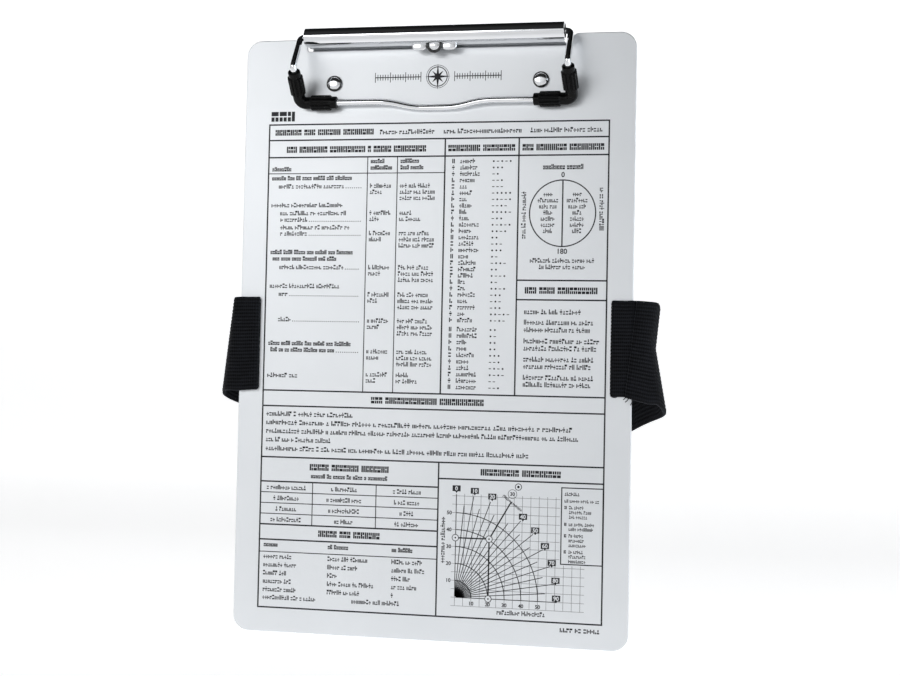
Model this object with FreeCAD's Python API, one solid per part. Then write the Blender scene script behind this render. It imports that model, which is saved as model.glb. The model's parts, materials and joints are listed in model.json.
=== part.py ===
"""A pilot's kneeboard: a sheet-aluminium clipboard with a wire-bail clip and an elastic leg strap.

Millimetres. +X is the wearer's right when facing the printed side, +Z runs up the board towards the clip, and
+Y points through the board towards the thigh. The origin is the centre of the board's back face.
"""
import FreeCAD
import Part
import math
import os

Vec = FreeCAD.Vector

# ---- driving dimensions ----
BOARD_W = 152.4
BOARD_H = 228.6
BOARD_T = 1.6
BOARD_CORNER_R = 6.0
EDGE_BREAK = 0.25

NOTCH_HALF_W = 51.7
NOTCH_DEPTH = 4.6
NOTCH_MOUTH_R = 3.0
NOTCH_INNER_R = 1.0

SLOT_INNER_X = 68.1
SLOT_W = 3.3
SLOT_H = 36.0
SLOT_Z = -3.8
SLOT_CORNER_R = 1.5

RIVET_X = 40.4
RIVET_Z = 96.9
RIVET_SHANK_R = 1.5
RIVET_HEAD_R = 2.75
RIVET_HEAD_H = 1.3
RIVET_TAIL_R = 2.3
RIVET_TAIL_H = 0.6

SHEET_T = 0.7
BARREL_R = 3.5
BARREL_HALF_L = 50.2
BARREL_Z = 113.8
BARREL_HEIGHT = 6.5          # barrel axis in front of the board's printed face
BARREL_SEAM = 0.5
WEB_HALF_L = 49.8
WEB_BEND_R = 0.6
FLANGE_BOTTOM_Z = 87.0
FLANGE_CORNER_R = 5.0
PAD_W = 16.5
PAD_H = 0.7
PAD_DEPTH = 5.0
PAD_SETBACK = 0.8            # the pad's front edge behind the barrel's axis
PAD_CORNER_R = 2.0
ANCHOR_HEAD_R = 2.8
ANCHOR_HEAD_H = 1.8
ANCHOR_SHANK_R = 0.8

WIRE_R = 1.2
WIRE_INNER_END_X = 9.0
BUSH_L = 7.0
BUSH_SETBACK = 0.3           # the bush's outer end inside the barrel's mouth
ANCHOR_SETBACK = 0.4         # how far the wire's inner ends stick out of the anchor block
RUNNING_GAP = 0.05
PRESS_GAP = 0.02
ARM_X = 52.5
CRANK_Z = 101.1
CRANK_HEIGHT = 15.0
CORNER_X = 52.9
SPAN_Z = 89.0
SPAN_HEIGHT = 3.35
SPAN_FALL = 0.3              # how much nearer the board the span is where its dip starts
DIP_START_X = 18.5
DIP_END_X = 8.0
DIP_DROP = 2.3
DIP_HEIGHT = 1.6
ARM_BEND_R = 1.9
CRANK_BEND_R = 2.2
DIP_BEND_R = 34.0

SLEEVE_LEG = 14.6
SLEEVE_CORE_R = 2.45
SLEEVE_RIB_R = 2.85
SLEEVE_ELBOW_R = 4.2
SLEEVE_COLLAR_L = 2.2
SLEEVE_RIB_L = 7.6
SLEEVE_RIBS = 8
SLEEVE_RIB_ROUND_R = 0.55
ELBOW_OVERLAP = 0.4

STRAP_W = 35.0
STRAP_T = 1.5
STRAP_LAG = 0.3              # air between the elastic and the metal
HINGE_GAP = 0.45             # air between the sewn loop and the strap half's rounded root
LOOP_OUTER_R = 1.4
LOOP_INNER_R = 0.2
BULGE_Y = 2.6                # where the strap half stands out furthest
BULGE_RIGHT_X = 88.4
BULGE_LEFT_X = 87.6
TURN_BACK_X = 4.0            # how far it has come in again at TURN_BACK_Y
TURN_BACK_Y = 12.6
RUN_START_X = 58.0
RUN_RISE = 6.8               # how far it still goes back between RUN_START_X and RUN_FLAT_X
RUN_FLAT_X = 30.0
STRAP_BEND_RADII = [4.0, 10.0, 40.0, 40.0]
STRAP_DROOP = 0.70           # how far the strap hangs down for each millimetre behind its hinge
STRAP_TIP_X = 22.0
STRAP_GAP = 0.3              # air between the two halves of the fastener
PATCH_T = 1.0
PATCH_L = 40.0
PATCH_W = 31.0
PATCH_MARGIN = 1.5
STITCH_R = 0.3
STITCH_L = 2.2
STITCH_PITCH = 3.2
STITCH_PROUD = 0.01
SEAM_INSETS = (3.4, 1.2)     # the loop's two seams, in from the board's edge
SEAM_END_MARGIN = 2.4

OVERCUT = 1.0                # how far a cutting tool runs past the faces it cuts through
ANCHOR_OVERCUT = 0.2         # the same at the anchor rivet, where the barrel is close

# ---- worked out ----
HALF_W = BOARD_W / 2
HALF_H = BOARD_H / 2
FRONT_Y = -BOARD_T
NOTCH_FLOOR_Z = HALF_H - NOTCH_DEPTH
BARREL_Y = FRONT_Y - BARREL_HEIGHT
SLOT_OUTER_X = SLOT_INNER_X + SLOT_W

LOOP_IN_X = SLOT_INNER_X + STRAP_LAG + 0.2
LOOP_OUT_X = HALF_W + STRAP_LAG + STRAP_T
LOOP_FRONT_Y = FRONT_Y - STRAP_LAG - STRAP_T
LOOP_BACK_Y = STRAP_LAG + STRAP_T
HINGE_X = LOOP_OUT_X + STRAP_T / 2 + HINGE_GAP
HINGE_Y = (LOOP_FRONT_Y + LOOP_BACK_Y) / 2

INNER_RUN_Y = 30.75          # middle of the left half's elastic where the ends overlap
OUTER_RUN_Y = INNER_RUN_Y + STRAP_T + 2 * PATCH_T + STRAP_GAP

Z_AXIS = Vec(0, 0, 1)
X_AXIS = Vec(1, 0, 0)
Y_AXIS = Vec(0, 1, 0)


def save(node, shape):
    """Write one sub-part and print what it holds."""
    shape.exportStep("parts/" + node + ".step")
    print(f"{node:22s} valid {shape.isValid()}  solids {len(shape.Solids)}  volume {shape.Volume:9.2f}")


def mirrored(shape):
    return shape.mirror(Vec(0, 0, 0), X_AXIS)


def rounded_path(points, radii):
    """Straight runs joined by tangent arcs, one radius for each inner point."""
    edges = []
    start = points[0]
    for before, corner, after, radius in zip(points, points[1:], points[2:], radii):
        into = (corner - before).normalize()
        out = (after - corner).normalize()
        turn = into.getAngle(out)
        reach = radius * math.tan(turn / 2)
        arc_start = corner - into * reach
        arc_end = corner + out * reach
        middle = corner + (out - into).normalize() * (radius / math.cos(turn / 2) - radius)
        edges.append(Part.LineSegment(start, arc_start).toShape())
        edges.append(Part.Arc(arc_start, middle, arc_end).toShape())
        start = arc_end
    edges.append(Part.LineSegment(start, points[-1]).toShape())
    return edges


def closed_outline(points, radii):
    """A closed polygon with a rounded corner at each point; a radius of 0 leaves it sharp."""
    count = len(points)
    edges = []
    marks = []
    for i, (corner, radius) in enumerate(zip(points, radii)):
        into = (corner - points[i - 1]).normalize()
        out = (points[(i + 1) % count] - corner).normalize()
        turn = into.getAngle(out)
        reach = radius * math.tan(turn / 2)
        marks.append((corner - into * reach, corner + out * reach))
        if radius > 0:
            middle = corner + (out - into).normalize() * (radius / math.cos(turn / 2) - radius)
            edges.append(Part.Arc(marks[-1][0], middle, marks[-1][1]).toShape())
    for i in range(count):
        edges.append(Part.LineSegment(marks[i - 1][1], marks[i][0]).toShape())
    return Part.Wire(Part.__sortEdges__(edges))


def pipe(edges, radius):
    """A round rod along a path of tangent edges."""
    path = Part.Wire(edges)
    first = edges[0]
    start = first.valueAt(first.FirstParameter)
    along = first.tangentAt(first.FirstParameter)
    profile = Part.Wire([Part.makeCircle(radius, start, along)])
    rod = path.makePipeShell([profile], True, False)
    print(f"  rod volume {rod.Volume:.2f}, section times length {math.pi * radius ** 2 * path.Length:.2f}")
    return rod


def xz_plate(outline, y_front, thickness):
    """A flat plate from an outline drawn in a plane parallel to XZ."""
    return Part.Face(outline).extrude(Vec(0, thickness, 0)).translated(Vec(0, y_front, 0))


# ---- the board ----
def strap_slot():
    points = [Vec(SLOT_INNER_X, 0, SLOT_Z - SLOT_H / 2), Vec(SLOT_OUTER_X, 0, SLOT_Z - SLOT_H / 2),
              Vec(SLOT_OUTER_X, 0, SLOT_Z + SLOT_H / 2), Vec(SLOT_INNER_X, 0, SLOT_Z + SLOT_H / 2)]
    outline = closed_outline(points, [SLOT_CORNER_R] * 4)
    return xz_plate(outline, FRONT_Y - OVERCUT, BOARD_T + 2 * OVERCUT)


def board_plate():
    points = [Vec(-HALF_W, 0, -HALF_H), Vec(HALF_W, 0, -HALF_H), Vec(HALF_W, 0, HALF_H),
              Vec(NOTCH_HALF_W, 0, HALF_H), Vec(NOTCH_HALF_W, 0, NOTCH_FLOOR_Z),
              Vec(-NOTCH_HALF_W, 0, NOTCH_FLOOR_Z), Vec(-NOTCH_HALF_W, 0, HALF_H), Vec(-HALF_W, 0, HALF_H)]
    notch_radii = [NOTCH_MOUTH_R, NOTCH_INNER_R, NOTCH_INNER_R, NOTCH_MOUTH_R]
    radii = [BOARD_CORNER_R] * 3 + notch_radii + [BOARD_CORNER_R]
    plate = xz_plate(closed_outline(points, radii), FRONT_Y, BOARD_T)
    rim = [edge for edge in plate.Edges if abs(edge.CenterOfMass.y - FRONT_Y / 2) > BOARD_T / 4]
    plate = plate.makeFillet(EDGE_BREAK, rim)
    slot = strap_slot()
    plate = plate.cut(slot).cut(mirrored(slot))
    for side in (-1, 1):
        start = Vec(side * RIVET_X, FRONT_Y - OVERCUT, RIVET_Z)
        plate = plate.cut(Part.makeCylinder(RIVET_SHANK_R, BOARD_T + 2 * OVERCUT, start, Y_AXIS))
    return plate


# ---- the clip ----
def barrel():
    """Rolled tube, left open by a narrow seam where its free edge meets the web."""
    centre = Vec(-BARREL_HALF_L, BARREL_Y, BARREL_Z)
    outer = Part.makeCylinder(BARREL_R, 2 * BARREL_HALF_L, centre, X_AXIS)
    inner = Part.makeCylinder(BARREL_R - SHEET_T, 2 * BARREL_HALF_L, centre, X_AXIS)
    seam_z = BARREL_Z - BARREL_R + SHEET_T
    seam = Part.makeBox(2 * BARREL_HALF_L, BARREL_R + 1, BARREL_SEAM, Vec(-BARREL_HALF_L, BARREL_Y, seam_z))
    return outer.cut(inner).cut(seam)


def web_and_flange():
    """Sheet that runs back through the notch and turns down behind the board."""
    web_low = BARREL_Z - BARREL_R
    bend_out = WEB_BEND_R + SHEET_T
    a = Vec(0, BARREL_Y, web_low)
    b = Vec(0, -WEB_BEND_R, web_low)
    c = Vec(0, 0, web_low - WEB_BEND_R)
    d = Vec(0, 0, FLANGE_BOTTOM_Z)
    e = Vec(0, SHEET_T, FLANGE_BOTTOM_Z)
    f = Vec(0, SHEET_T, web_low - WEB_BEND_R)
    g = Vec(0, -WEB_BEND_R, web_low + SHEET_T)
    h = Vec(0, BARREL_Y, web_low + SHEET_T)
    centre = Vec(0, -WEB_BEND_R, web_low - WEB_BEND_R)
    diagonal = Vec(0, 1, 1).normalize()
    edges = [Part.LineSegment(a, b).toShape(),
             Part.Arc(b, centre + diagonal * WEB_BEND_R, c).toShape(),
             Part.LineSegment(c, d).toShape(), Part.LineSegment(d, e).toShape(),
             Part.LineSegment(e, f).toShape(),
             Part.Arc(f, centre + diagonal * bend_out, g).toShape(),
             Part.LineSegment(g, h).toShape(), Part.LineSegment(h, a).toShape()]
    sheet = Part.Face(Part.Wire(edges)).extrude(Vec(2 * WEB_HALF_L, 0, 0)).translated(Vec(-WEB_HALF_L, 0, 0))
    corners = [edge for edge in sheet.Edges
               if edge.BoundBox.YLength > SHEET_T * 0.9 and edge.BoundBox.XLength < 1e-6
               and abs(edge.BoundBox.ZMax - FLANGE_BOTTOM_Z) < 1e-6]
    return sheet.makeFillet(FLANGE_CORNER_R, corners)


def web_pad():
    """Shallow stamped pad under the web, round the anchor rivet."""
    low = BARREL_Z - BARREL_R - PAD_H
    front_y = BARREL_Y + PAD_SETBACK
    back_y = front_y + PAD_DEPTH
    points = [Vec(-PAD_W / 2, front_y, low), Vec(PAD_W / 2, front_y, low),
              Vec(PAD_W / 2, back_y, low), Vec(-PAD_W / 2, back_y, low)]
    return Part.Face(closed_outline(points, [PAD_CORNER_R] * 4)).extrude(Vec(0, 0, PAD_H + SHEET_T / 2))


def rivet_site():
    """Where the anchor rivet's axis meets the underside of the pad."""
    return Vec(0, BARREL_Y + PAD_SETBACK + PAD_DEPTH / 2, BARREL_Z - BARREL_R - PAD_H)


def clip_base():
    base = web_and_flange().fuse(barrel()).fuse(web_pad()).removeSplitter()
    for side in (-1, 1):
        start = Vec(side * RIVET_X, -OVERCUT, RIVET_Z)
        base = base.cut(Part.makeCylinder(RIVET_SHANK_R, SHEET_T + 2 * OVERCUT, start, Y_AXIS))
    start = rivet_site() - Vec(0, 0, OVERCUT)
    depth = OVERCUT + PAD_H + SHEET_T + ANCHOR_OVERCUT
    return base.cut(Part.makeCylinder(ANCHOR_SHANK_R, depth, start, Z_AXIS))


def dome(radius, height, centre, axis):
    """Low dome: a ball cut by the plane through centre, bulging along axis."""
    ball_r = (radius ** 2 + height ** 2) / (2 * height)
    ball = Part.makeSphere(ball_r, centre + axis * (height - ball_r))
    keep = Part.makeCylinder(radius + PRESS_GAP, height + OVERCUT, centre, axis)
    return ball.common(keep)


def anchor_rivet():
    site = rivet_site()
    head = dome(ANCHOR_HEAD_R, ANCHOR_HEAD_H, site, Vec(0, 0, -1))
    shank = Part.makeCylinder(ANCHOR_SHANK_R, PAD_H + SHEET_T, site, Z_AXIS)
    return head.fuse(shank)


def torsion_anchor():
    """Block in the middle of the barrel that grips the ends of the bail."""
    half_l = WIRE_INNER_END_X - ANCHOR_SETBACK
    start = Vec(-half_l, BARREL_Y, BARREL_Z)
    return Part.makeCylinder(BARREL_R - SHEET_T - PRESS_GAP, 2 * half_l, start, X_AXIS)


def barrel_bush():
    start = Vec(BARREL_HALF_L - BUSH_L, BARREL_Y, BARREL_Z)
    outer = Part.makeCylinder(BARREL_R - SHEET_T - PRESS_GAP, BUSH_L - BUSH_SETBACK, start, X_AXIS)
    return outer.cut(Part.makeCylinder(WIRE_R + RUNNING_GAP, BUSH_L, start, X_AXIS))


def front(height):
    """Y of a point this far in front of the printed face."""
    return FRONT_Y - height


def bail_points():
    """Right half of the bail's route, from inside the barrel to the middle of the front span."""
    return [Vec(WIRE_INNER_END_X, BARREL_Y, BARREL_Z),
            Vec(ARM_X, BARREL_Y, BARREL_Z),
            Vec(ARM_X, front(CRANK_HEIGHT), CRANK_Z),
            Vec(CORNER_X, front(SPAN_HEIGHT), SPAN_Z),
            Vec(DIP_START_X, front(SPAN_HEIGHT - SPAN_FALL), SPAN_Z),
            Vec(DIP_END_X, front(DIP_HEIGHT), SPAN_Z - DIP_DROP)]


def bail_wire():
    right = bail_points()
    left = [Vec(-p.x, p.y, p.z) for p in reversed(right)]
    radii = [ARM_BEND_R, CRANK_BEND_R, SLEEVE_ELBOW_R, DIP_BEND_R, DIP_BEND_R]
    edges = rounded_path(right + left, radii + radii[::-1])
    return pipe(edges, WIRE_R)


def ribbed_leg(corner, along, core_start):
    """One straight leg of a grip sleeve: plain collar at the free end, ribs behind it."""
    leg = Part.makeCylinder(SLEEVE_CORE_R, SLEEVE_LEG - core_start, corner + along * core_start, along)
    rib_start = SLEEVE_LEG - SLEEVE_COLLAR_L - SLEEVE_RIB_L
    side = along.cross(Y_AXIS).normalize()
    for i in range(SLEEVE_RIBS):
        across = FreeCAD.Rotation(along, 360.0 * i / SLEEVE_RIBS).multVec(side)
        start = corner + along * rib_start + across * (SLEEVE_RIB_R - SLEEVE_RIB_ROUND_R)
        leg = leg.fuse(Part.makeCylinder(SLEEVE_RIB_ROUND_R, SLEEVE_RIB_L, start, along))
    return leg


def grip_sleeve():
    """Rubber elbow on the bail's right corner."""
    points = bail_points()
    crank, corner, inner = points[2], points[3], points[4]
    up = (crank - corner).normalize()
    along = (inner - corner).normalize()
    reach = SLEEVE_ELBOW_R * math.tan((corner - crank).getAngle(inner - corner) / 2)
    elbow_leg = reach + ELBOW_OVERLAP
    elbow_path = rounded_path([corner + up * elbow_leg, corner, corner + along * elbow_leg], [SLEEVE_ELBOW_R])
    elbow = pipe(elbow_path, SLEEVE_CORE_R)
    sleeve = elbow.fuse(ribbed_leg(corner, up, reach)).fuse(ribbed_leg(corner, along, reach))
    bore_leg = SLEEVE_LEG + OVERCUT
    bore_path = rounded_path([corner + up * bore_leg, corner, corner + along * bore_leg], [SLEEVE_ELBOW_R])
    return sleeve.cut(pipe(bore_path, WIRE_R + RUNNING_GAP))


def board_rivet():
    """Domed head on the printed face, shank, and a tail closed on the clip base."""
    head_seat = Vec(RIVET_X, FRONT_Y, RIVET_Z)
    head = dome(RIVET_HEAD_R, RIVET_HEAD_H, head_seat, Vec(0, -1, 0))
    shank = Part.makeCylinder(RIVET_SHANK_R, BOARD_T + SHEET_T, head_seat, Y_AXIS)
    tail = dome(RIVET_TAIL_R, RIVET_TAIL_H, Vec(RIVET_X, SHEET_T, RIVET_Z), Y_AXIS)
    return head.fuse(shank).fuse(tail)


# ---- the leg strap ----
def droop(shape):
    """Let a strap piece hang: every point goes down in step with its distance behind the hinge."""
    shear = FreeCAD.Matrix()
    shear.A32 = -STRAP_DROOP
    shear.A34 = STRAP_DROOP * HINGE_Y
    return shape.transformGeometry(shear)


def strap_loop():
    """Sewn loop round the strip outside the right slot."""
    faces = []
    for inset, radius in ((0.0, LOOP_OUTER_R), (STRAP_T, LOOP_INNER_R)):
        x0 = LOOP_IN_X + inset
        x1 = LOOP_OUT_X - inset
        y0 = LOOP_FRONT_Y + inset
        y1 = LOOP_BACK_Y - inset
        low = SLOT_Z - STRAP_W / 2
        points = [Vec(x0, y0, low), Vec(x1, y0, low), Vec(x1, y1, low), Vec(x0, y1, low)]
        faces.append(Part.Face(closed_outline(points, [radius] * 4)))
    ring = faces[0].cut(faces[1])
    return ring.extrude(Vec(0, 0, STRAP_W))


def strap_half(run_y, bulge_x):
    """Right-hand half of the elastic, from its hinge line to its tip behind the board."""
    low = SLOT_Z - STRAP_W / 2
    route = [Vec(HINGE_X, HINGE_Y, low),
             Vec(bulge_x, BULGE_Y, low),
             Vec(bulge_x - TURN_BACK_X, TURN_BACK_Y, low),
             Vec(RUN_START_X, run_y - RUN_RISE, low),
             Vec(RUN_FLAT_X, run_y, low),
             Vec(-STRAP_TIP_X, run_y, low)]
    edges = rounded_path(route, STRAP_BEND_RADII)
    path = Part.Wire(edges)
    print(f"  strap half, centre line {path.Length:.1f}")
    first = edges[0]
    start = first.valueAt(first.FirstParameter)
    along = first.tangentAt(first.FirstParameter)
    across = along.cross(Z_AXIS).normalize() * (STRAP_T / 2)
    a = start + across
    b = start - across
    rise = Vec(0, 0, STRAP_W)
    profile = Part.makePolygon([a, b, b + rise, a + rise, a])
    band = path.makePipeShell([profile], True, False)
    root = Part.makeCylinder(STRAP_T / 2, STRAP_W, start, Z_AXIS)
    return band.fuse(root)


def patch(face_y, centre_x):
    """One fastener patch; face_y is its side nearer the board."""
    low = SLOT_Z - PATCH_W / 2
    return Part.makeBox(PATCH_L, PATCH_T, PATCH_W, Vec(centre_x - PATCH_L / 2, face_y, low))


def stitch_row(centre_x, y, outward):
    """Stitches round a patch, half sunk in the elastic's far face."""
    half_x = PATCH_L / 2 - PATCH_MARGIN
    half_z = PATCH_W / 2 - PATCH_MARGIN
    stitches = []
    near_y = y if outward > 0 else y - OVERCUT
    corner = Vec(centre_x - PATCH_L, near_y, SLOT_Z - PATCH_L)
    outside = Part.makeBox(2 * PATCH_L, OVERCUT, 2 * PATCH_L, corner)
    for start, along, span in ((Vec(-half_x, 0, -half_z), X_AXIS, 2 * half_x),
                               (Vec(-half_x, 0, half_z), X_AXIS, 2 * half_x),
                               (Vec(-half_x, 0, -half_z), Z_AXIS, 2 * half_z),
                               (Vec(half_x, 0, -half_z), Z_AXIS, 2 * half_z)):
        count = int(span / STITCH_PITCH)
        lead = (span - (count - 1) * STITCH_PITCH - STITCH_L) / 2
        for i in range(count):
            at = start + along * (lead + i * STITCH_PITCH) + Vec(centre_x, y + outward * STITCH_PROUD, SLOT_Z)
            rod = Part.makeCylinder(STITCH_R, STITCH_L, at, along)
            stitches.append(rod.common(outside))
    return Part.makeCompound(stitches)


def loop_seam():
    """Two rows of thread that close the sewn loop on its back layer."""
    stitches = []
    count = int((STRAP_W - 2 * SEAM_END_MARGIN) / STITCH_PITCH)
    for inset in SEAM_INSETS:
        x = HALF_W - inset
        for i in range(count):
            low = SLOT_Z - STRAP_W / 2 + SEAM_END_MARGIN + i * STITCH_PITCH
            rod = Part.makeCylinder(STITCH_R, STITCH_L, Vec(x, LOOP_BACK_Y, low), Z_AXIS)
            corner = Vec(x - 2 * STITCH_R, LOOP_BACK_Y, low)
            outside = Part.makeBox(4 * STITCH_R, 2 * STITCH_R, STITCH_L, corner)
            stitches.append(rod.common(outside))
    return Part.makeCompound(stitches)


def main():
    os.makedirs("parts", exist_ok=True)
    save("board_plate", board_plate())
    save("clip_base", clip_base())
    save("anchor_rivet", anchor_rivet())
    save("torsion_anchor", torsion_anchor())
    save("bail_wire", bail_wire())
    for node, shape in (("barrel_bush", barrel_bush()), ("grip_sleeve", grip_sleeve()),
                        ("rivet", board_rivet()), ("strap_loop", strap_loop()), ("loop_seam", loop_seam())):
        save(node + "_right", shape)
        save(node + "_left", mirrored(shape))
    save("strap_right", droop(strap_half(OUTER_RUN_Y, BULGE_RIGHT_X)))
    save("strap_left", droop(mirrored(strap_half(INNER_RUN_Y, BULGE_LEFT_X))))
    inner_face = INNER_RUN_Y + STRAP_T / 2
    save("loop_patch", droop(patch(inner_face, 0.0)))
    save("hook_patch", droop(patch(inner_face + PATCH_T + STRAP_GAP, 0.0)))
    save("loop_patch_stitching", droop(stitch_row(0.0, INNER_RUN_Y - STRAP_T / 2, -1)))
    save("hook_patch_stitching", droop(stitch_row(0.0, OUTER_RUN_Y + STRAP_T / 2, 1)))


main()
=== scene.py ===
"""The looks of a pilot's kneeboard: its materials, printed tables, rubber sleeves and elastic leg strap.

Blender units are metres. Shapes are drawn in millimetres and scaled by MM where they become meshes.
+X is to the right of the printed side, +Y goes back through the board, and +Z is up towards the clip.
"""
import json
import math
import random

import bmesh
import bpy
import numpy as np
from mathutils import Matrix, Vector


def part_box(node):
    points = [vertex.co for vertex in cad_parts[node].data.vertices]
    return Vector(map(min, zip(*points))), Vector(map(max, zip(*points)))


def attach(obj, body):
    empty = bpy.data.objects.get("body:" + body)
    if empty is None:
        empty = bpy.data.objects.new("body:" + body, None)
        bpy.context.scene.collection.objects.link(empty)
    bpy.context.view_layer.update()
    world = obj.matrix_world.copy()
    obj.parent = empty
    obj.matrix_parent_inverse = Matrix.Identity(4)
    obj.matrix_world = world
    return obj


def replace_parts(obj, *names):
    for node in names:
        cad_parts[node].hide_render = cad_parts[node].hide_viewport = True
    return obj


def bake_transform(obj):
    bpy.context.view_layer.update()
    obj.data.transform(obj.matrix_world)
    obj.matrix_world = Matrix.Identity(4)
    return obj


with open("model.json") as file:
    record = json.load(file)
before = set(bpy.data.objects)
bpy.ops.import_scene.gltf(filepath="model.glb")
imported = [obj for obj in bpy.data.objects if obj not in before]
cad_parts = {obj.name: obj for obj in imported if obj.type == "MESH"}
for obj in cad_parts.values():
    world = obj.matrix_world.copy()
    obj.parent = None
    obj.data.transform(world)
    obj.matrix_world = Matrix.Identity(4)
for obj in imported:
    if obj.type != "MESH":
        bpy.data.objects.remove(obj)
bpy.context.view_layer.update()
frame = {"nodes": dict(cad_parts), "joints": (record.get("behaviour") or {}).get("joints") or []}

MM = 0.001

# ---- the frame's own sizes, in millimetres ----
BOARD_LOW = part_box("board_plate")[0] / MM
FRONT_Y = BOARD_LOW.y
LOOP_LOW, LOOP_HIGH = (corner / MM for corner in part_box("strap_loop_right"))
JOINTS = {joint["name"]: Vector(joint["pos_m"]) / MM for joint in frame["joints"]}
HINGE = JOINTS["outer_strap_swing"]

# ---- elastic webbing ----
STRAP_T = 1.5
STRAP_DROOP = 0.70
STRAP_RIBS = 27
RIB_RELIEF = 0.13
ROWS_PER_RIB = 8
INNER_RUN_Y = 30.75
OUTER_RUN_Y = 34.55
STRAP_TIP_X = 22.0

# ---- the bail's corner sleeves ----
CRANK = Vector((52.5, FRONT_Y - 15.0, 101.1))
CORNER = Vector((52.9, FRONT_Y - 3.35, 89.0))
SPAN = Vector((18.5, FRONT_Y - 3.05, 89.0))
SLEEVE_LEG = 14.6
ELBOW_R = 2.4
WIRE_R = 1.2

# ---- the stamped bosses under the clip's web ----
CLIP_SHEET_T = 0.7
ANCHOR_LOW, ANCHOR_HIGH = (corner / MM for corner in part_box("anchor_rivet"))
WEB_LOW = ANCHOR_HIGH.z - CLIP_SHEET_T
BOSS_X = 0.2
BOSS_Y = ANCHOR_LOW.y + 0.6
BOSS_Z = WEB_LOW - 0.35
BOSS_HALF_W = 8.5

# ---- print ----
INK_T = 0.05
HEAVY = 0.56
FINE = 0.33
HAIR = 0.13


def collection_object(name, mesh):
    piece = bpy.data.objects.new(name, mesh)
    bpy.context.scene.collection.objects.link(piece)
    return piece


def build_mesh(name, points_mm, faces, material, smooth=True):
    """A mesh object from points in millimetres."""
    mesh = bpy.data.meshes.new(name)
    mesh.from_pydata([tuple(Vector(p) * MM) for p in points_mm], [], faces)
    mesh.materials.append(material)
    mesh.validate()
    if smooth:
        mesh.shade_smooth()
    return collection_object(name, mesh)


# ---- materials ----
class Nodes:
    """Short names for building one material's node tree."""

    def __init__(self, name):
        self.material = bpy.data.materials.new(name)
        self.material.use_nodes = True
        self.tree = self.material.node_tree
        self.shader = self.tree.nodes["Principled BSDF"]

    def add(self, kind, **settings):
        node = self.tree.nodes.new(kind)
        for key, value in settings.items():
            setattr(node, key, value)
        return node

    def link(self, source, target):
        self.tree.links.new(source, target)

    def put(self, **sockets):
        for key, value in sockets.items():
            self.shader.inputs[key.replace("_", " ")].default_value = value

    def object_space(self):
        return self.add("ShaderNodeTexCoord").outputs["Object"]

    def noise(self, scale, detail=3.0, stretch=None, source=None):
        node = self.add("ShaderNodeTexNoise")
        node.inputs["Scale"].default_value = scale
        node.inputs["Detail"].default_value = detail
        source = source or self.object_space()
        if stretch:
            mapping = self.add("ShaderNodeMapping")
            mapping.inputs["Scale"].default_value = stretch
            self.link(source, mapping.inputs["Vector"])
            source = mapping.outputs["Vector"]
        self.link(source, node.inputs["Vector"])
        return node.outputs["Fac"]

    def spread(self, factor, low, high, start=0.3, end=0.7):
        """Map a 0 to 1 factor onto a range."""
        node = self.add("ShaderNodeMapRange")
        node.inputs["From Min"].default_value = start
        node.inputs["From Max"].default_value = end
        node.inputs["To Min"].default_value = low
        node.inputs["To Max"].default_value = high
        self.link(factor, node.inputs["Value"])
        return node.outputs["Result"]

    def colours(self, factor, *stops):
        """A colour ramp: each stop is (position, (r, g, b))."""
        ramp = self.add("ShaderNodeValToRGB")
        elements = ramp.color_ramp.elements
        while len(elements) < len(stops):
            elements.new(0.5)
        for element, (position, rgb) in zip(elements, stops):
            element.position = position
            element.color = (*rgb, 1.0)
        self.link(factor, ramp.inputs["Fac"])
        return ramp.outputs["Color"]

    def tint(self, factor, *stops):
        """Feed the base colour from a ramp."""
        self.link(self.colours(factor, *stops), self.shader.inputs["Base Color"])

    def rough(self, factor, low, high):
        self.link(self.spread(factor, low, high), self.shader.inputs["Roughness"])

    def normal(self, height, distance, strength=1.0):
        self.link(self.bump(height, distance, strength), self.shader.inputs["Normal"])

    def bump(self, height, distance, strength=1.0):
        node = self.add("ShaderNodeBump")
        node.inputs["Distance"].default_value = distance
        node.inputs["Strength"].default_value = strength
        self.link(height, node.inputs["Height"])
        return node.outputs["Normal"]

    def math(self, operation, a, b=None):
        node = self.add("ShaderNodeMath", operation=operation)
        for socket, value in zip(node.inputs, (a, b)):
            if value is None:
                continue
            if isinstance(value, (int, float)):
                socket.default_value = value
            else:
                self.link(value, socket)
        return node.outputs["Value"]


def satin_aluminium():
    n = Nodes("satin_aluminium")
    n.put(Metallic=1.0, IOR=1.5)
    grain = n.noise(5200, 2.0)
    cloud = n.noise(22, 3.0)
    n.tint(cloud, (0.3, (0.725, 0.745, 0.765)), (0.7, (0.760, 0.778, 0.798)))
    n.rough(grain, 0.42, 0.47)
    n.normal(grain, 0.00002, 0.35)
    return n.material


def chrome(name, roughness=0.07, tone=0.83):
    n = Nodes(name)
    n.put(Metallic=1.0)
    smear = n.noise(140, 4.0)
    n.tint(smear, (0.3, (tone * 0.97, tone * 0.98, tone)), (0.7, (tone, tone * 1.01, tone * 1.03)))
    n.rough(smear, roughness * 0.7, roughness * 1.6)
    n.normal(n.noise(260, 2.0), 0.00002, 0.15)
    return n.material


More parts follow.
